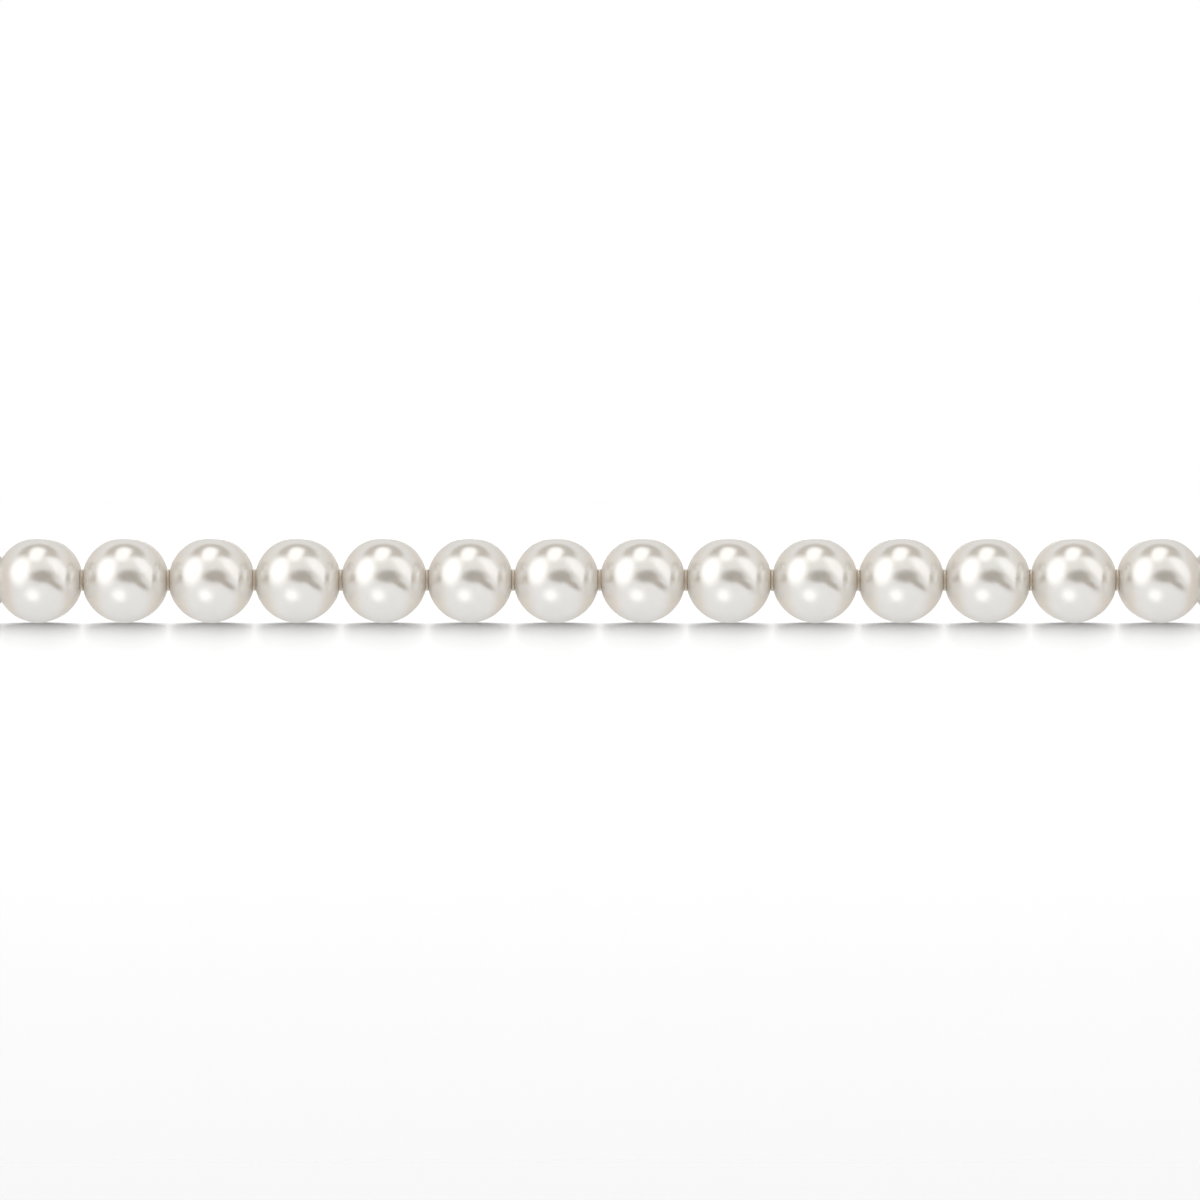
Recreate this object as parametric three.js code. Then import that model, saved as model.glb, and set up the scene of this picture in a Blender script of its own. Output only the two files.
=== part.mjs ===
// Pearl bracelet: one closed loop of round drilled pearls, strung on a clear elastic cord.
// It lies by itself on a flat surface, drawn out into two straight rows with a tight turn at each end.
// Millimetres, +Z up. The origin is under the middle of the loop, on the surface that it lies on.
// The front row runs along +X at the lowest Y, and the string goes round counterclockwise from there.

import * as THREE from "three";

// Driving dimensions
const pearlDiameter = 6.0;
const pearlGap = 0.07;          // between two neighbouring pearls, where they are nearest
const pearlsInRow = 14;         // in each of the two straight rows
const pearlsInTurn = 2;         // between the rows, at each end
const drillDiameter = 0.9;      // the bore through a pearl
const cordClearance = 0.15;     // between the cord and the wall of the bore
const spacerDiameter = 1.54;    // the clear ring between two pearls
const spacerRimRound = 0.08;    // how far in from the rim the ring's round edge starts
const spacerClearance = 0.03;   // between a ring's faces and the pearls

// How finely the round shapes are cut
const pearlSides = 16;          // round the bore, a multiple of 4, so that one corner points straight down
const pearlArcSteps = 10;       // from one mouth of the bore to the other, an even number
const cordSides = 10;

// Sizes that follow
const pearlRadius = pearlDiameter / 2;
const drillRadius = drillDiameter / 2;
const cordRadius = drillRadius - cordClearance;
const spacerRadius = spacerDiameter / 2;
const pitch = pearlDiameter + pearlGap;
const turnAngle = Math.PI / (pearlsInTurn + 1);
const turnRadius = pitch / (2 * Math.sin(turnAngle / 2));
const rowLength = (pearlsInRow - 1) * pitch;

// Between two pearls whose bores point different ways, the cord turns on one arc from mouth to mouth.
// The bores' lines cross beyond the mouths, and the arc is tangent to both.
const mouthToCrossing = pitch / (2 * Math.cos(turnAngle / 2)) - pearlRadius;
const bendRadius = mouthToCrossing / Math.tan(turnAngle / 2);
// How far outside the line between the two pearls' centres the middle of that arc lies
const bendOffset = pearlRadius * Math.sin(turnAngle / 2) + bendRadius * (1 - Math.cos(turnAngle / 2));

const nacre = new THREE.MeshStandardMaterial({
  name: "nacre",
  color: 0xdedad2,
  roughness: 0.22,
  metalness: 0.1,
});
const clearElastic = new THREE.MeshStandardMaterial({
  name: "clear_elastic",
  color: 0xcfd0cc,
  roughness: 0.35,
  metalness: 0,
});

// A pearl's place on the loop: the middle of its bore, and the direction in which the cord runs through it.
// The second half of the loop is the first half turned half a turn about the origin.
function loopSeats() {
  const seats = [];
  for (let i = 0; i < pearlsInRow; i += 1) {
    seats.push({ x: i * pitch - rowLength / 2, y: -turnRadius, heading: 0 });
  }
  for (let i = 1; i <= pearlsInTurn; i += 1) {
    const heading = i * turnAngle;
    const x = rowLength / 2 + turnRadius * Math.sin(heading);
    const y = -turnRadius * Math.cos(heading);
    seats.push({ x, y, heading });
  }
  const otherHalf = seats.map(({ x, y, heading }) => ({ x: -x, y: -y, heading: heading + Math.PI }));
  return seats.concat(otherHalf);
}

// A round pearl with its bore along X: an arc from mouth to mouth, closed by the bore's wall.
function pearlGeometry() {
  const mouthAngle = Math.asin(drillRadius / pearlRadius);
  const profile = [];
  for (let i = 0; i <= pearlArcSteps; i += 1) {
    const angle = THREE.MathUtils.lerp(mouthAngle, Math.PI - mouthAngle, i / pearlArcSteps);
    profile.push(new THREE.Vector2(pearlRadius * Math.sin(angle), -pearlRadius * Math.cos(angle)));
  }
  profile.push(profile[0].clone());
  const geometry = new THREE.LatheGeometry(profile, pearlSides);
  geometry.rotateZ(-Math.PI / 2);
  return geometry;
}

// Half the room between two neighbouring pearls, at a distance from the line between their centres.
function halfRoomAt(distance) {
  return pitch / 2 - Math.sqrt(pearlRadius ** 2 - distance ** 2);
}

// Half a ring's thickness at one of its radii. All rings are alike, so it is what the tighter of the
// two kinds of seat allows: centred between two pearls in a row, or off their line in a turn.
function spacerHalfThickness(radius) {
  const inRow = halfRoomAt(radius);
  const inTurn = halfRoomAt(Math.abs(bendOffset - radius));
  return Math.min(inRow, inTurn) - spacerClearance;
}

// A ring as stations of the cord: out along one dished face, over the round rim and back in.
function spacerStations(centre, heading) {
  const shoulder = spacerRadius - spacerRimRound;
  const outline = [
    { along: -spacerHalfThickness(cordRadius), radius: cordRadius },
    { along: -spacerHalfThickness(shoulder), radius: shoulder },
    { along: 0, radius: spacerRadius },
    { along: spacerHalfThickness(shoulder), radius: shoulder },
    { along: spacerHalfThickness(cordRadius), radius: cordRadius },
  ];
  return outline.map(({ along, radius }) => ({
    x: centre.x + along * Math.cos(heading),
    y: centre.y + along * Math.sin(heading),
    heading,
    radius,
  }));
}

// The cord from one pearl to the next: straight in a row, and an arc in a turn, with a ring at the middle.
// Shares of the half arc run from -1, at the mouth that it leaves, to 1, at the mouth that it enters.
function stationsBetween(seat, next) {
  const heading = (seat.heading + next.heading) / 2;
  const middle = { x: (seat.x + next.x) / 2, y: (seat.y + next.y) / 2 };
  if (next.heading - seat.heading < turnAngle / 2) {
    return spacerStations(middle, heading);
  }
  const outward = heading - Math.PI / 2;
  const arcMiddle = {
    x: middle.x + bendOffset * Math.cos(outward),
    y: middle.y + bendOffset * Math.sin(outward),
  };
  const arcCentre = {
    x: arcMiddle.x - bendRadius * Math.cos(outward),
    y: arcMiddle.y - bendRadius * Math.sin(outward),
  };
  const arcStation = (share) => {
    const turned = (share * turnAngle) / 2;
    return {
      x: arcCentre.x + bendRadius * Math.cos(outward + turned),
      y: arcCentre.y + bendRadius * Math.sin(outward + turned),
      heading: heading + turned,
      radius: cordRadius,
    };
  };
  const intoRing = [-1, -0.5].map(arcStation);
  const outOfRing = [0.5, 1].map(arcStation);
  return [...intoRing, ...spacerStations(arcMiddle, heading), ...outOfRing];
}

// The closed cord with its rings: a round section at each station, joined all the way round the loop.
function cordGeometry(stations) {
  const positions = [];
  for (const { x, y, heading, radius } of stations) {
    for (let i = 0; i < cordSides; i += 1) {
      const angle = (2 * Math.PI * i) / cordSides;
      const sideways = radius * Math.cos(angle);
      positions.push(
        x + sideways * Math.sin(heading),
        y - sideways * Math.cos(heading),
        pearlRadius + radius * Math.sin(angle),
      );
    }
  }
  const indices = [];
  for (let station = 0; station < stations.length; station += 1) {
    const here = station * cordSides;
    const ahead = ((station + 1) % stations.length) * cordSides;
    for (let side = 0; side < cordSides; side += 1) {
      const nextSide = (side + 1) % cordSides;
      indices.push(here + side, ahead + side, ahead + nextSide);
      indices.push(here + side, ahead + nextSide, here + nextSide);
    }
  }
  const geometry = new THREE.BufferGeometry();
  geometry.setAttribute("position", new THREE.Float32BufferAttribute(positions, 3));
  geometry.setIndex(indices);
  geometry.computeVertexNormals();
  return geometry;
}

const bracelet = new THREE.Group();
const seats = loopSeats();

seats.forEach((seat, index) => {
  const pearl = new THREE.Mesh(pearlGeometry(), nacre);
  pearl.name = `pearl_${String(index + 1).padStart(2, "0")}`;
  pearl.position.set(seat.x, seat.y, pearlRadius);
  pearl.rotation.z = seat.heading;
  bracelet.add(pearl);
});

const cordStations = seats.flatMap((seat, index) => {
  const last = index === seats.length - 1;
  const next = last ? { ...seats[0], heading: 2 * Math.PI } : seats[index + 1];
  return stationsBetween(seat, next);
});
const cord = new THREE.Mesh(cordGeometry(cordStations), clearElastic);
cord.name = "cord_with_spacers";
bracelet.add(cord);

export default bracelet;
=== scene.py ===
"""A bracelet of round pearls on a clear elastic cord, lying drawn out in two rows on a pale surface.

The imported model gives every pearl's place and size. This script gives each pearl its smooth round
surface and its lustre, strings them on a clear cord with a thin clear ring between each two, and lights
them with soft panels. Everything is in metres, +Z up, with the front row along +X.
"""

from __future__ import annotations

import logging
import math
from dataclasses import dataclass, field
from enum import Enum

import bpy
import numpy as np
from mathutils import Euler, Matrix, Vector

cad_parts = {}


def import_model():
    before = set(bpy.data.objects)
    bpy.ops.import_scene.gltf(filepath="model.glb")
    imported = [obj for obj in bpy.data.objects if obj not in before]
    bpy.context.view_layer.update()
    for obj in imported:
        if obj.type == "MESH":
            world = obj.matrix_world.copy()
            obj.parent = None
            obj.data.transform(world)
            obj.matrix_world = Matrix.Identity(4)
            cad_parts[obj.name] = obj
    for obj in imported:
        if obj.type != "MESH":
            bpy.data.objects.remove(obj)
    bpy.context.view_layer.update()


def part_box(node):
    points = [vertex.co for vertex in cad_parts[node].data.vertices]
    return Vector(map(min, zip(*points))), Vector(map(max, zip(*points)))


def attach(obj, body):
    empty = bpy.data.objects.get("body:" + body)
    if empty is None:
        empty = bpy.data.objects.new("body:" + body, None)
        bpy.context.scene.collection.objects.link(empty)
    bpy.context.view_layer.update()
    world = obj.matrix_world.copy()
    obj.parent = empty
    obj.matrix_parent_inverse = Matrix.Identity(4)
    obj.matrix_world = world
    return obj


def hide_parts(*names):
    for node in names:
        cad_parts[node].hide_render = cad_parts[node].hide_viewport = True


LOG = logging.getLogger("bracelet")

MM = 0.001
BODY = "root"

# The photograph's frame, and where the row of pearls lies in it
PHOTO_SIDE_PX = 1200
PEARL_PITCH_PX = 86.32
ROW_MIDDLE_PX = 599.5
ROW_HEIGHT_PX = 580.2


class Slot(Enum):
    """The record's material slots, one name for each finish; no piece here is given one."""

    NACRE = "nacre"
    CLEAR_ELASTIC = "clear_elastic"


def linear(hex_colour: str) -> tuple[float, float, float, float]:
    """Turns an sRGB hex colour to linear light, by the sRGB standard's own formula.

    Args:
        hex_colour: the colour as "#rrggbb".

    Returns:
        Red, green and blue in linear light, and an alpha of 1.
    """
    parts = [int(hex_colour[i : i + 2], 16) / 255 for i in (1, 3, 5)]
    red, green, blue = (c / 12.92 if c <= 0.04045 else ((c + 0.055) / 1.055) ** 2.4 for c in parts)
    return red, green, blue, 1.0


def add_node(tree: bpy.types.NodeTree, kind: str, inputs: dict | None = None, **settings) -> bpy.types.Node:
    """Adds one node to a tree, with its settings and links.

    Args:
        tree: the node tree that it goes into.
        kind: the node's type name.
        inputs: what each input, by name or number, gets: a value, or the output socket linked to it.
        settings: the node's own properties.

    Returns:
        The new node.
    """
    node = tree.nodes.new(kind)
    for name, value in settings.items():
        setattr(node, name, value)
    for key, value in (inputs or {}).items():
        if isinstance(value, bpy.types.NodeSocket):
            tree.links.new(value, node.inputs[key])
        else:
            node.inputs[key].default_value = value
    return node


def new_material(name: str) -> tuple[bpy.types.Material, bpy.types.NodeTree]:
    """Makes an empty node material.

    Args:
        name: the material's name.

    Returns:
        The material and its empty node tree.
    """
    material = bpy.data.materials.new(name)
    material.use_nodes = True
    material.node_tree.nodes.clear()
    return material, material.node_tree


@dataclass
class Sheet:
    """A surface worked out on a grid of two parameters, closed both ways round like a ring's skin.

    Attributes:
        points: places of the grid's corners, first index round the bore, second along the outline.
    """

    points: np.ndarray

    def corners(self) -> np.ndarray:
        """Gives the corner places as one long list, a row for each corner."""
        return self.points.reshape(-1, 3)

    def quads(self) -> np.ndarray:
        """Numbers the quads' corners, facing outwards, with the last row joined to the first.

        Returns:
            The four corner numbers of each quad.
        """
        around, along = self.points.shape[:2]
        i, j = np.meshgrid(np.arange(around), np.arange(along), indexing="ij")
        next_i = (i + 1) % around
        next_j = (j + 1) % along
        here, beyond = i * along, next_i * along
        return np.stack([here + j, here + next_j, beyond + next_j, beyond + j], -1).reshape(-1, 4)

    def uvs(self) -> np.ndarray:
        """Works out each quad corner's place on the unrolled surface, from 0 to 1 both ways.

        Returns:
            The places, a row for each quad corner.
        """
        around, along = self.points.shape[:2]
        i, j = np.meshgrid(np.arange(around), np.arange(along), indexing="ij")
        u = np.stack([i, i, i + 1, i + 1], -1) / around
        v = np.stack([j, j + 1, j + 1, j], -1) / along
        return np.stack([u, v], -1).reshape(-1, 2)


def make_piece(
    name: str, sheets: list[Sheet], material: bpy.types.Material, nodes: list[str]
) -> bpy.types.Object:
    """Puts surfaces into one mesh object that rides on the part and stands for CAD nodes.

    Args:
        name: the piece's name.
        sheets: its surfaces.
        material: its finish.
        nodes: the CAD nodes that it replaces.

    Returns:
        The new object, at the origin, with its place in its mesh.
    """
    firsts = np.cumsum([0] + [len(sheet.corners()) for sheet in sheets[:-1]])
    corners = np.concatenate([sheet.corners() for sheet in sheets])
    quads = np.concatenate([sheet.quads() + first for sheet, first in zip(sheets, firsts)])
    uvs = np.concatenate([sheet.uvs() for sheet in sheets])
    mesh = bpy.data.meshes.new(name)
    mesh.vertices.add(len(corners))
    mesh.vertices.foreach_set("co", corners.astype(np.float32).ravel())
    mesh.loops.add(quads.size)
    mesh.loops.foreach_set("vertex_index", quads.astype(np.int32).ravel())
    mesh.polygons.add(len(quads))
    mesh.polygons.foreach_set("loop_start", np.arange(0, quads.size, 4, dtype=np.int32))
    mesh.polygons.foreach_set("use_smooth", np.ones(len(quads), bool))
    mesh.update(calc_edges=True)
    layer = mesh.uv_layers.new(name="unrolled")
    layer.data.foreach_set("uv", uvs.astype(np.float32).ravel())
    mesh.materials.append(material)
    piece = bpy.data.objects.new(name, mesh)
    bpy.context.scene.collection.objects.link(piece)
    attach(piece, BODY)
    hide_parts(*nodes)
    return piece


@dataclass(frozen=True)
class Seat:
    """A place on the string.

    Attributes:
        centre: the place, in metres.
        heading: the direction in which the cord runs there, in radians counterclockwise from +X.
    """

    centre: np.ndarray
    heading: float

    def forward(self) -> np.ndarray:
        """Gives the unit vector along the cord."""
        return np.array([math.cos(self.heading), math.sin(self.heading), 0.0])

    def sideways(self) -> np.ndarray:
        """Gives the level unit vector across the cord, towards the outside of the loop."""
        return np.array([math.sin(self.heading), -math.cos(self.heading), 0.0])

    def turned_round(self, along: np.ndarray, radius: np.ndarray, around: int) -> Sheet:
        """Carries an outline round the cord's line.

        A point at angle a has its place at centre + forward * along + out * radius, where out is
        sideways * cos a + up * sin a.

        Args:
            along: the outline's places along the cord, from the centre.
            radius: its distances from the cord's line.
            around: how many steps the turn has.

        Returns:
            The closed surface.
        """
        angle = np.linspace(0, 2 * np.pi, around, endpoint=False)
        across = np.cos(angle)[:, None] * self.sideways() + np.sin(angle)[:, None] * np.array([0.0, 0.0, 1.0])
        ahead = along[:, None] * self.forward()
        return Sheet(self.centre + ahead[None] + across[:, None] * radius[None, :, None])


@dataclass(frozen=True)
class StringLine:
    """The closed line that the string follows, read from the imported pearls.

    Attributes:
        pearls_in_row: pearls in each straight row.
        pearls_in_turn: pearls between the rows, at each end.
    """

    pearls_in_row: int = 14
    pearls_in_turn: int = 2

    @property
    def turn_angle(self) -> float:
        """The angle between two neighbouring bores in a turn."""
        return math.pi / (self.pearls_in_turn + 1)

    def node(self, index: int) -> str:
        """Gives the name of the CAD node of a pearl, counted from 0."""
        return f"pearl_{index + 1:02d}"

    def pearl_radius(self) -> float:
        """Gives the pearls' radius, which is half the height of one."""
        low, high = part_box(self.node(0))
        return (high.z - low.z) / 2

    def seats(self) -> list[Seat]:
        """Finds each pearl's middle and the direction of its bore.

        Returns:
            The pearls' seats, in the order of the string.
        """
        half = [0.0] * self.pearls_in_row + [i * self.turn_angle for i in range(1, self.pearls_in_turn + 1)]
        headings = half + [heading + math.pi for heading in half]
        seats = []
        for index, heading in enumerate(headings):
            low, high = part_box(self.node(index))
            seats.append(Seat(np.array((low + high) / 2), heading))
        return seats

    def pitch(self) -> float:
        """Gives the distance from one pearl's middle to the next."""
        first, second = self.seats()[:2]
        return float(np.linalg.norm(second.centre - first.centre))

    def bend_radius(self) -> float:
        """Gives the radius on which the cord turns, tangent to both bores from mouth to mouth."""
        to_crossing = self.pitch() / (2 * math.cos(self.turn_angle / 2)) - self.pearl_radius()
        return to_crossing / math.tan(self.turn_angle / 2)

    def bend_offset(self) -> float:
        """Gives how far the middle of a bend lies outside the line between the two pearls."""
        half = self.turn_angle / 2
        return self.pearl_radius() * math.sin(half) + self.bend_radius() * (1 - math.cos(half))

    def joints(self) -> list[Seat]:
        """Finds the cord's middle between each pearl and the next, where a ring sits.

        Returns:
            The rings' seats, in the order of the string.
        """
        seats = self.seats()
        joints = []
        for index, seat in enumerate(seats):
            following = seats[(index + 1) % len(seats)]
            turned = (following.heading - seat.heading) % (2 * math.pi)
            middle = Seat((seat.centre + following.centre) / 2, seat.heading + turned / 2)
            outwards = self.bend_offset() if self.is_bend(turned) else 0.0
            joints.append(Seat(middle.centre + middle.sideways() * outwards, middle.heading))
        return joints

    def is_bend(self, turned: float) -> bool:
        """Tells a bend from a straight joint by the angle between its two bores."""
        return turned > self.turn_angle / 2


@dataclass(frozen=True)
class Nacre:
    """Pearl nacre: thin layers of aragonite, grown or coated and polished, with a soft deep lustre.

    The layers mirror far more light than one clear surface does, so the pearl shows its surroundings as
    soft bright shapes over a warm white body.

    Attributes:
        body: the colour of the nacre.
        body_pale: its colour in the paler clouds.
        cloud_mm: how wide a cloud is.
        cloud_octaves: how many finer layers the clouds have.
        cloud_falloff: how much each finer layer adds.
        lustre_ior: the index that one clear surface would need to mirror as much as all the layers.
        roughness: how soft the mirrored shapes are, where the polish is best and where it is least.
        terrace_mm: how far apart the low swells of the polished surface are.
        terrace_height_mm: how high they are.
        terrace_octaves: how many finer layers the swells have.
        terrace_falloff: how much each finer layer adds.
    """

    body: str = "#d8d5cb"
    body_pale: str = "#dfd6cc"
    cloud_mm: float = 2.4
    cloud_octaves: float = 3.0
    cloud_falloff: float = 0.5
    lustre_ior: float = 4.2
    roughness: tuple[float, float] = (0.17, 0.19)
    terrace_mm: float = 0.7
    terrace_height_mm: float = 0.001
    terrace_octaves: float = 2.0
    terrace_falloff: float = 0.4

    def material(self) -> bpy.types.Material:
        """Makes the finish.

        Returns:
            The material.
        """
        material, tree = new_material("pearl_nacre")
        place = add_node(tree, "ShaderNodeTexCoord").outputs["Object"]
        clouds = add_node(
            tree,
            "ShaderNodeTexNoise",
            {
                "Vector": place,
                "Scale": 1 / (self.cloud_mm * MM),
                "Detail": self.cloud_octaves,
                "Roughness": self.cloud_falloff,
            },
        )
        tone = add_node(
            tree,
            "ShaderNodeMix",
            {"Factor": clouds.outputs["Fac"], "A": linear(self.body), "B": linear(self.body_pale)},
            data_type="RGBA",
        )
        terraces = add_node(
            tree,
            "ShaderNodeTexNoise",
            {
                "Vector": place,
                "Scale": 1 / (self.terrace_mm * MM),
                "Detail": self.terrace_octaves,
                "Roughness": self.terrace_falloff,
            },
        )
        polish = add_node(
            tree,
            "ShaderNodeMapRange",
            {"Value": terraces.outputs["Fac"], "To Min": self.roughness[0], "To Max": self.roughness[1]},
        )
        relief = add_node(
            tree,
            "ShaderNodeBump",
            {"Height": terraces.outputs["Fac"], "Distance": self.terrace_height_mm * MM, "Strength": 1.0},
        )
        shader = add_node(
            tree,
            "ShaderNodeBsdfPrincipled",
            {
                "Base Color": tone.outputs["Result"],
                "Roughness": polish.outputs[0],
                "IOR": self.lustre_ior,
                "Normal": relief.outputs[0],
            },
        )
        add_node(tree, "ShaderNodeOutputMaterial", {"Surface": shader.outputs["BSDF"]})
        return material


@dataclass(frozen=True)
class ClearElastic:
    """Clear elastic: drawn polyurethane cord or moulded silicone, milky where it is thick.

    It scatters most of the light inside and lets the rest through, so it looks like pale frosted glass.

    Attributes:
        name: the material's name.
        tint: its colour.
        roughness: how dull its surface is.
        clearness: the share of the light that passes straight through.
        ior: its index of refraction.
    """

    name: str
    tint: str
    roughness: float
    clearness: float
    ior: float = 1.45

    def material(self) -> bpy.types.Material:
        """Makes the finish.

        Returns:
            The material.
        """
        material, tree = new_material(self.name)
        shader = add_node(
            tree,
            "ShaderNodeBsdfPrincipled",
            {
                "Base Color": linear(self.tint),
                "Roughness": self.roughness,
                "IOR": self.ior,
                "Transmission Weight": self.clearness,
            },
        )
        add_node(tree, "ShaderNodeOutputMaterial", {"Surface": shader.outputs["BSDF"]})
        return material


@dataclass(frozen=True)
class SatinAcrylic:
    """White acrylic sheet with a satin top, which mirrors softly, and only when looked along nearly flat.

    Attributes:
        white: the colour of the sheet.
        sheen: the strength of its mirror, as a grey.
        roughness: how soft the mirror is.
        slant_ior: the index of the mirror, far under acrylic's own 1.49, because a satin top
            mirrors only at a very flat slant.
    """

    white: str = "#f4f4f4"
    sheen: str = "#b3b3b3"
    roughness: float = 0.11
    slant_ior: float = 1.08

    def material(self) -> bpy.types.Material:
        """Makes the finish: matt white from above, and more of a mirror the flatter it is looked along.

        Returns:
            The material.
        """
        material, tree = new_material("satin_acrylic")
        matt = add_node(tree, "ShaderNodeBsdfDiffuse", {"Color": linear(self.white)})
        mirror = add_node(
            tree, "ShaderNodeBsdfAnisotropic", {"Color": linear(self.sheen), "Roughness": self.roughness}
        )
        slant = add_node(tree, "ShaderNodeFresnel", {"IOR": self.slant_ior})
        mixed = add_node(
            tree, "ShaderNodeMixShader", {0: slant.outputs[0], 1: matt.outputs[0], 2: mirror.outputs[0]}
        )
        add_node(tree, "ShaderNodeOutputMaterial", {"Surface": mixed.outputs[0]})
        return material


@dataclass
class Pearls:
    """The round drilled pearls, each with a smooth surface in place of its faceted solid.

    Attributes:
        line: the line that they are strung on.
        bore_radius: the radius of the hole.
        mouth_round: the radius to which the hole's edge is polished.
        around: steps round the bore.
        arc_steps: steps from one mouth to the other.
        mouth_steps: steps round the edge of a mouth.
    """

    line: StringLine
    bore_radius: float = 0.45 * MM
    mouth_round: float = 0.05 * MM
    around: int = 72
    arc_steps: int = 48
    mouth_steps: int = 4

    def outline(self) -> tuple[np.ndarray, np.ndarray]:
        """Works out the pearl's closed outline beside its bore.

        The arc has its points at R * (cos a, sin a), from mouth to mouth. The round edge of a mouth is an
        arc tangent to the sphere and to the bore's wall, and the straight wall joins the two mouths.

        Returns:
            The outline's places along the bore, and its distances from the bore's line.
        """
        radius = self.line.pearl_radius()
        edge = self.mouth_round
        edge_off = self.bore_radius + edge
        edge_along = math.sqrt((radius - edge) ** 2 - edge_off**2)
        mouth_angle = math.atan2(edge_off, edge_along)
        arc = np.linspace(mouth_angle, math.pi - mouth_angle, self.arc_steps + 1)
        turn = np.linspace(mouth_angle, -math.pi / 2, self.mouth_steps + 1)[1:]
        edge_x = edge_along + edge * np.cos(turn)
        edge_r = edge_off + edge * np.sin(turn)
        along = np.concatenate([radius * np.cos(arc), -edge_x, edge_x[::-1]])
        away = np.concatenate([radius * np.sin(arc), edge_r, edge_r[::-1]])
        return along, away

    def build(self, material: bpy.types.Material) -> list[bpy.types.Object]:
        """Makes every pearl.

        Args:
            material: the nacre.

        Returns:
            The pearls, in the order of the string.
        """
        along, away = self.outline()
        pearls = []
        for index, seat in enumerate(self.line.seats()):
            sheet = seat.turned_round(along, away, self.around)
            name = f"nacre_{index + 1:02d}"
            pearls.append(make_piece(name, [sheet], material, [self.line.node(index)]))
        return pearls


@dataclass
class CordAndRings:
    """The clear elastic cord through all the pearls, and the thin clear ring between each two.

    Attributes:
        line: the line that the cord follows.
        cord_radius: half the cord's thickness.
        ring_radius: the rings' outer radius.
        rim_round: how far in from the rim a ring's round edge starts.
        clearance: the room left between a ring's faces and the pearls.
        cord_around: steps round the cord.
        bend_steps: steps along each bend of the cord.
        ring_around: steps round a ring.
        rim_steps: steps over a ring's round rim.
        node: the CAD node that cord and rings stand for.
    """

    line: StringLine
    cord_radius: float = 0.3 * MM
    ring_radius: float = 0.77 * MM
    rim_round: float = 0.08 * MM
    clearance: float = 0.008 * MM
    cord_around: int = 16
    bend_steps: int = 12
    ring_around: int = 48
    rim_steps: int = 8
    node: str = field(default="cord_with_spacers", init=False)

    def half_thickness(self, distance: float) -> float:
        """Works out half the thickness that a ring can have between two pearls.

        It is half the pitch less the height of the sphere there, less the clearance.

        Args:
            distance: how far from the cord's line.

        Returns:
            Half the thickness there.
        """
        sphere = math.sqrt(self.line.pearl_radius() ** 2 - distance**2)
        return self.line.pitch() / 2 - sphere - self.clearance

    def ring_outline(self) -> tuple[np.ndarray, np.ndarray]:
        """Works out a ring's closed outline: two dished faces, a half-ellipse for the rim, and the hole.

        Returns:
            The outline's places along the cord, and its distances from the cord's line.
        """
        shoulder = self.ring_radius - self.rim_round
        hub = self.half_thickness(self.cord_radius)
        rim = self.half_thickness(shoulder)
        turn = np.linspace(math.pi / 2, -math.pi / 2, self.rim_steps + 1)
        hole = [self.cord_radius]
        along = np.concatenate([[hub], rim * np.sin(turn), [-hub]])
        away = np.concatenate([hole, shoulder + self.rim_round * np.cos(turn), hole])
        return along, away

    def cord_sheet(self) -> Sheet:
        """Works out the cord's surface: a round section carried along the line of the string.

        In a bend the middle of the section lies on an arc, at offset + R * (cos t - 1) across and R * sin t
        along. In a straight joint it lies in the pearls' middles, so nothing is needed between them.

        Returns:
            The closed surface.
        """
        seats = self.line.seats()
        radius = self.line.bend_radius()
        half = self.line.turn_angle / 2
        turn = np.linspace(-half, half, self.bend_steps + 1)
        centres = []
        headings = []
        for index, (seat, joint) in enumerate(zip(seats, self.line.joints())):
            centres.append(seat.centre[None])
            headings.append(np.array([seat.heading]))
            turned = (seats[(index + 1) % len(seats)].heading - seat.heading) % (2 * math.pi)
            if self.line.is_bend(turned):
                across = (radius * (np.cos(turn) - 1))[:, None] * joint.sideways()
                ahead = (radius * np.sin(turn))[:, None] * joint.forward()
                centres.append(joint.centre + across + ahead)
                headings.append(joint.heading + turn)
        centre = np.concatenate(centres)
        heading = np.concatenate(headings)
        angle = np.linspace(0, 2 * np.pi, self.cord_around, endpoint=False)
        sideways = np.stack([np.sin(heading), -np.cos(heading), np.zeros_like(heading)], -1)
        up = np.array([0.0, 0.0, 1.0])
        across = np.cos(angle)[:, None, None] * sideways[None] + np.sin(angle)[:, None, None] * up
        return Sheet((centre[None] + self.cord_radius * across)[:, ::-1])

    def build(
        self, cord_finish: bpy.types.Material, ring_finish: bpy.types.Material
    ) -> list[bpy.types.Object]:
        """Makes the cord and the rings.

        Args:
            cord_finish: the cord's material.
            ring_finish: the rings' material.

        Returns:
            The cord, and all rings as one piece.
        """
        cord = make_piece("elastic_cord", [self.cord_sheet()], cord_finish, [self.node])
        along, away = self.ring_outline()
        sheets = [joint.turned_round(along, away, self.ring_around) for joint in self.line.joints()]
        rings = make_piece("spacer_rings", sheets, ring_finish, [self.node])
        return [cord, rings]


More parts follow.
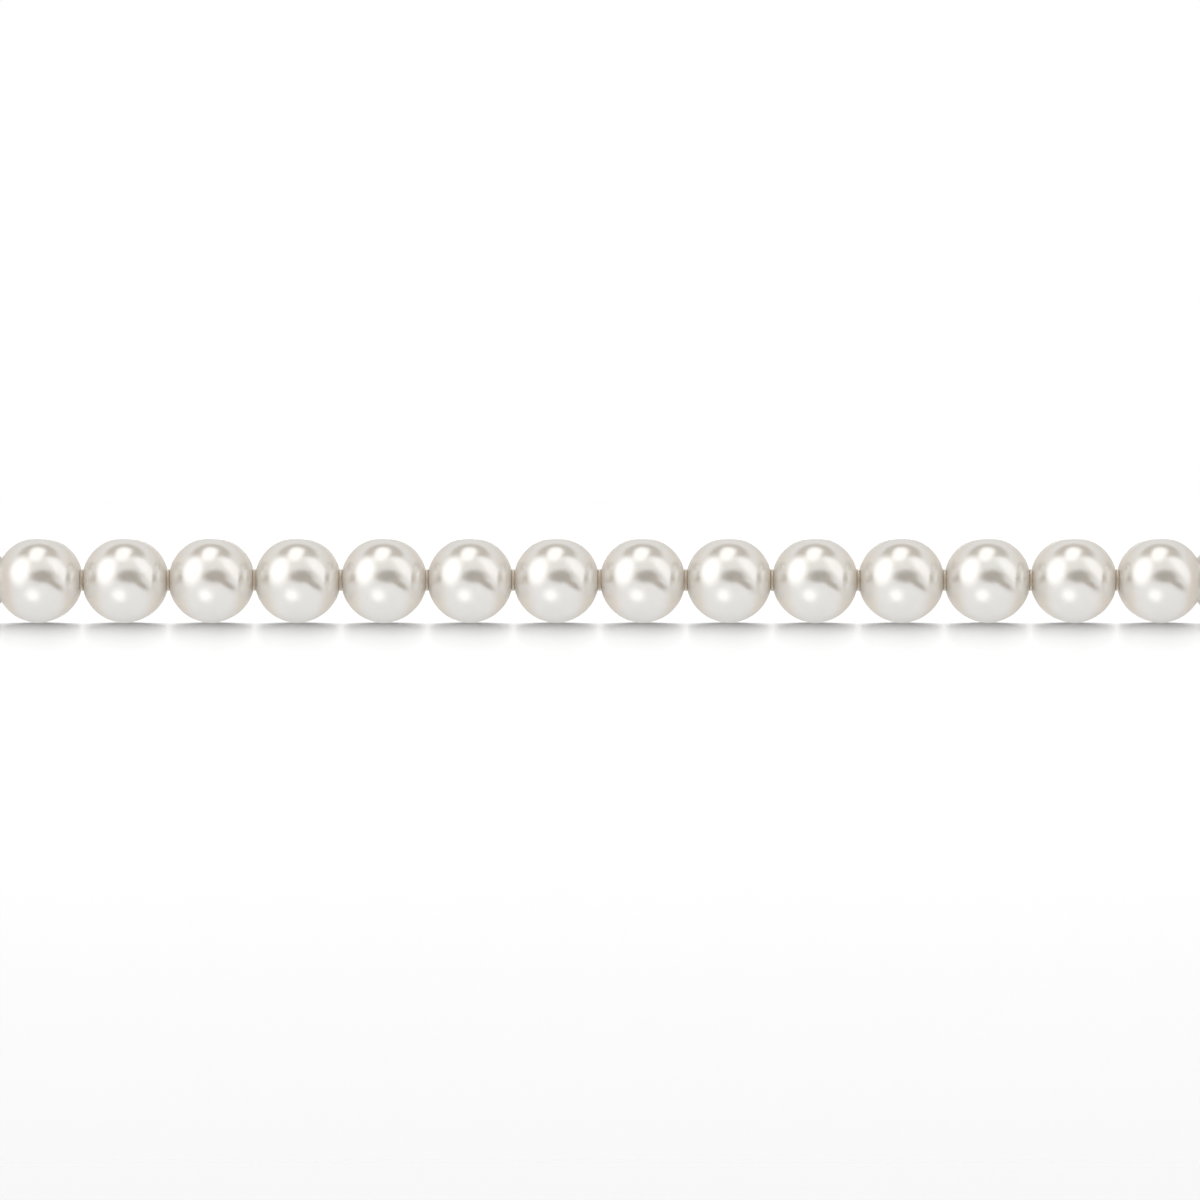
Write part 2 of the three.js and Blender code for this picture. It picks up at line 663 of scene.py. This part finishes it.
@dataclass(frozen=True)
class SoftPanel:
    """A soft light, or a dark place, far from the bracelet and as seen from it.

    Attributes:
        azimuth: degrees from straight behind the camera, positive to the right.
        elevation: degrees above the horizon.
        half_width: half its width, as the sine of the angle that it takes up.
        half_height: half its height, in the same measure.
        level: how bright it is.
        roll: degrees that it is turned clockwise, seen from the bracelet.
        edge: the share of its size over which its edge fades.
        corners: 2 for an oval, and more for a box with rounder or squarer corners.
        colour: its colour.
    """

    azimuth: float
    elevation: float
    half_width: float
    half_height: float
    level: float
    roll: float = 0.0
    edge: float = 0.2
    corners: float = 2.0
    colour: str = "#ffffff"

    def turn(self) -> Euler:
        """Works out the turn that brings +Z to the panel's middle, with +Y up along it.

        Returns:
            The turn.
        """
        aim = Euler((math.radians(90 - self.elevation), 0.0, math.radians(self.azimuth)), "XYZ")
        spin = Euler((0.0, 0.0, math.radians(self.roll)), "XYZ")
        return (aim.to_matrix() @ spin.to_matrix()).to_euler("XYZ")

    def lay_over(
        self, tree: bpy.types.NodeTree, direction: bpy.types.NodeSocket, below: bpy.types.NodeSocket
    ) -> bpy.types.NodeSocket:
        """Lays the panel over the surroundings.

        The direction is turned so that the panel's middle lies along +Z. The panel is where the reach
        (|x / half_width|^corners + |y / half_height|^corners)^(1 / corners) is under 1, and it fades
        smoothly across that line.

        Args:
            tree: the world's node tree.
            direction: the direction that is looked in.
            below: the light that the panel covers.

        Returns:
            The light with the panel in it.
        """
        local = add_node(
            tree,
            "ShaderNodeMapping",
            {"Vector": direction, "Rotation": self.turn(), "Scale": (self.half_width, self.half_height, 1.0)},
            vector_type="TEXTURE",
        )
        split = add_node(tree, "ShaderNodeSeparateXYZ", {0: local.outputs[0]})
        powers = []
        for axis in range(2):
            size = add_node(tree, "ShaderNodeMath", {0: split.outputs[axis]}, operation="ABSOLUTE")
            power = add_node(
                tree, "ShaderNodeMath", {0: size.outputs[0], 1: self.corners}, operation="POWER"
            )
            powers.append(power.outputs[0])
        total = add_node(tree, "ShaderNodeMath", {0: powers[0], 1: powers[1]}, operation="ADD")
        reach = add_node(
            tree, "ShaderNodeMath", {0: total.outputs[0], 1: 1 / self.corners}, operation="POWER"
        )
        fade = add_node(
            tree,
            "ShaderNodeMapRange",
            {
                "Value": reach.outputs[0],
                "From Min": 1 - self.edge,
                "From Max": 1 + self.edge,
                "To Min": 1.0,
                "To Max": 0.0,
            },
            interpolation_type="SMOOTHSTEP",
        )
        ahead = add_node(tree, "ShaderNodeMath", {0: split.outputs[2], 1: 0.0}, operation="GREATER_THAN")
        cover = add_node(
            tree, "ShaderNodeMath", {0: fade.outputs[0], 1: ahead.outputs[0]}, operation="MULTIPLY"
        )
        shine = [self.level * part for part in linear(self.colour)[:3]]
        laid = add_node(
            tree,
            "ShaderNodeMix",
            {"Factor": cover.outputs[0], "A": below, "B": (*shine, 1.0)},
            data_type="RGBA",
        )
        return laid.outputs["Result"]


@dataclass(frozen=True)
class FillLamp:
    """A round soft lamp that lights matt surfaces and shows in no mirror, as a well hidden one does.

    Attributes:
        name: where it stands.
        azimuth: degrees from straight behind the camera, positive to the right.
        elevation: degrees above the horizon.
        spread: half the angle that it takes up.
        level: how bright a white surface turned to it gets.
        distance: from the bracelet's middle.
    """

    name: str
    azimuth: float
    elevation: float
    spread: float
    level: float
    distance: float = 2.0

    def towards(self) -> Vector:
        """Works out the direction from the bracelet to the lamp.

        Returns:
            The unit vector.
        """
        azimuth = math.radians(self.azimuth)
        elevation = math.radians(self.elevation)
        ahead = math.cos(elevation)
        return Vector((ahead * math.sin(azimuth), -ahead * math.cos(azimuth), math.sin(elevation)))

    def build(self) -> None:
        """Makes the lamp, turned to the bracelet."""
        data = bpy.data.lights.new(f"fill_{self.name}", "AREA")
        data.shape = "DISK"
        data.size = 2 * self.distance * math.tan(math.radians(self.spread))
        data.energy = self.level * (math.pi * self.distance) ** 2
        lamp = bpy.data.objects.new(data.name, data)
        lamp.location = self.towards() * self.distance
        lamp.rotation_euler = self.towards().to_track_quat("Z", "Y").to_euler()
        lamp.visible_glossy = False
        lamp.visible_camera = False
        bpy.context.scene.collection.objects.link(lamp)


@dataclass
class Studio:
    """The soft light round the bracelet, the pale surface under it and the camera.

    Attributes:
        line: the line of the string, for the camera's aim.
        panels: the lights and the dark places in the surroundings, each laid over those before it.
        lamps: the lamps that do most of the even lighting.
        dome: how bright the rest of the surroundings is.
        fill: the share of the surroundings' light that matt surfaces get, besides the lamps.
        surface_half: half the side of the surface.
        camera_distance: from the lens to the front row.
        camera_height: of the lens above the surface.
        sensor_mm: the camera's sensor width.
        clip: the nearest and the farthest distance that the camera shows.
    """

    line: StringLine
    panels: tuple[SoftPanel, ...] = (
        # The white table top, seen from below the pearls' middles
        SoftPanel(0, -90, half_width=1.0, half_height=1.0, level=1.2, edge=0.08, colour="#f9fbff"),
        # The duller, warmer room behind the set, to the right and to the left
        SoftPanel(125, -5, half_width=0.7, half_height=0.6, level=0.95, edge=0.4, colour="#f0e4d6"),
        SoftPanel(-125, -5, half_width=0.7, half_height=0.6, level=1.0, edge=0.4, colour="#f0e4d6"),
        # The bright strip of backdrop that the table top mirrors
        SoftPanel(180, 10, half_width=0.08, half_height=0.30, level=2.65, edge=0.2, corners=4),
        # The dark ceiling round the overhead softbox
        SoftPanel(180, 89, half_width=0.62, half_height=0.43, level=0.3, edge=0.2, colour="#fff0dc"),
        # The dim room on the camera's side, its darkest part, and the dark edge of the table
        SoftPanel(12, 11, half_width=0.53, half_height=0.29, level=0.1, edge=0.4, colour="#e8c8a0"),
        SoftPanel(14, 11, half_width=0.26, half_height=0.16, level=0.04, edge=0.6, colour="#98d0a8"),
        SoftPanel(42, -8, half_width=0.53, half_height=0.13, level=0.2, roll=-28, edge=0.5, colour="#e8c8a0"),
        # The overhead softbox, the two at the sides and the small round lamp below
        SoftPanel(-16, 77, half_width=0.27, half_height=0.40, level=1.65, edge=0.3, corners=2.5),
        SoftPanel(-57, 23, half_width=0.45, half_height=0.55, level=1.9, edge=0.4, roll=12),
        SoftPanel(68, 28, half_width=0.27, half_height=0.60, level=1.5, roll=24, edge=0.35),
        SoftPanel(-19, -41, half_width=0.25, half_height=0.25, level=2.0, edge=0.9),
    )
    lamps: tuple[FillLamp, ...] = (
        FillLamp("left", azimuth=-46, elevation=25, spread=14, level=0.31),
        FillLamp("right", azimuth=46, elevation=25, spread=14, level=0.31),
        FillLamp("overhead", azimuth=0, elevation=80, spread=25, level=0.34),
    )
    dome: float = 0.95
    fill: float = 0.17
    surface_half: float = 8.0
    camera_distance: float = 3.5
    camera_height: float = 0.012
    sensor_mm: float = 36.0
    clip: tuple[float, float] = (0.1, 100.0)

    def light(self) -> None:
        """Makes the lamps and the surroundings: a pale dome with soft panels, and plain white behind."""
        for lamp in self.lamps:
            lamp.build()
        world = bpy.data.worlds.new("studio")
        bpy.context.scene.world = world
        world.cycles.sampling_method = "NONE"
        world.use_nodes = True
        tree = world.node_tree
        tree.nodes.clear()
        place = add_node(tree, "ShaderNodeTexCoord")
        total = add_node(tree, "ShaderNodeRGB").outputs[0]
        total.default_value = (self.dome, self.dome, self.dome, 1.0)
        for panel in self.panels:
            total = panel.lay_over(tree, place.outputs["Generated"], total)
        path = add_node(tree, "ShaderNodeLightPath")
        share = add_node(
            tree,
            "ShaderNodeMapRange",
            {"Value": path.outputs["Is Diffuse Ray"], "To Min": 1.0, "To Max": self.fill},
        )
        lit = add_node(tree, "ShaderNodeBackground", {"Color": total, "Strength": share.outputs[0]})
        seen = add_node(tree, "ShaderNodeBackground", {"Color": linear("#ffffff")})
        mixed = add_node(
            tree,
            "ShaderNodeMixShader",
            {0: path.outputs["Is Camera Ray"], 1: lit.outputs[0], 2: seen.outputs[0]},
        )
        add_node(tree, "ShaderNodeOutputWorld", {"Surface": mixed.outputs[0]})

    def lay_surface(self) -> None:
        """Makes the plain pale surface that the bracelet lies on."""
        half = self.surface_half
        corners = [(-half, -half, 0.0), (half, -half, 0.0), (half, half, 0.0), (-half, half, 0.0)]
        mesh = bpy.data.meshes.new("surface")
        mesh.from_pydata(corners, [], [(0, 1, 2, 3)])
        mesh.materials.append(SatinAcrylic().material())
        surface = bpy.data.objects.new("surface", mesh)
        surface.visible_glossy = False
        bpy.context.scene.collection.objects.link(surface)

    def place_camera(self) -> None:
        """Makes the camera: level with the pearls and far off, so that the front row hides the rear one."""
        front = self.line.seats()[0].centre
        pixel = self.line.pitch() / PEARL_PITCH_PX
        across = PHOTO_SIDE_PX * pixel
        aside = (PHOTO_SIDE_PX / 2 - ROW_MIDDLE_PX) * pixel
        below_row = (PHOTO_SIDE_PX / 2 - ROW_HEIGHT_PX) * pixel
        target = Vector((aside, front[1], front[2] - below_row))
        data = bpy.data.cameras.new("camera")
        data.sensor_width = self.sensor_mm
        data.lens = self.sensor_mm * self.camera_distance / across
        data.clip_start, data.clip_end = self.clip
        camera = bpy.data.objects.new("camera", data)
        camera.location = (aside, front[1] - self.camera_distance, self.camera_height)
        camera.rotation_euler = (target - camera.location).to_track_quat("-Z", "Y").to_euler()
        bpy.context.scene.collection.objects.link(camera)
        bpy.context.scene.camera = camera


def main() -> None:
    """Builds the bracelet, its surface, its light and the camera."""
    logging.basicConfig(level=logging.INFO, format="%(name)s: %(message)s")
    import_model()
    line = StringLine()
    studio = Studio(line)
    studio.place_camera()
    pieces = Pearls(line).build(Nacre().material())
    cord = ClearElastic("clear_polyurethane", "#efe6d8", roughness=0.25, clearness=0.35)
    rings = ClearElastic("clear_silicone", "#efe0ca", roughness=0.3, clearness=0.2)
    pieces += CordAndRings(line).build(cord.material(), rings.material())
    for piece in pieces:
        LOG.info("%s: %d faces", piece.name, len(piece.data.polygons))
    studio.lay_surface()
    studio.light()
    bpy.context.scene.view_settings.view_transform = "Standard"


if __name__ == "__main__":
    main()
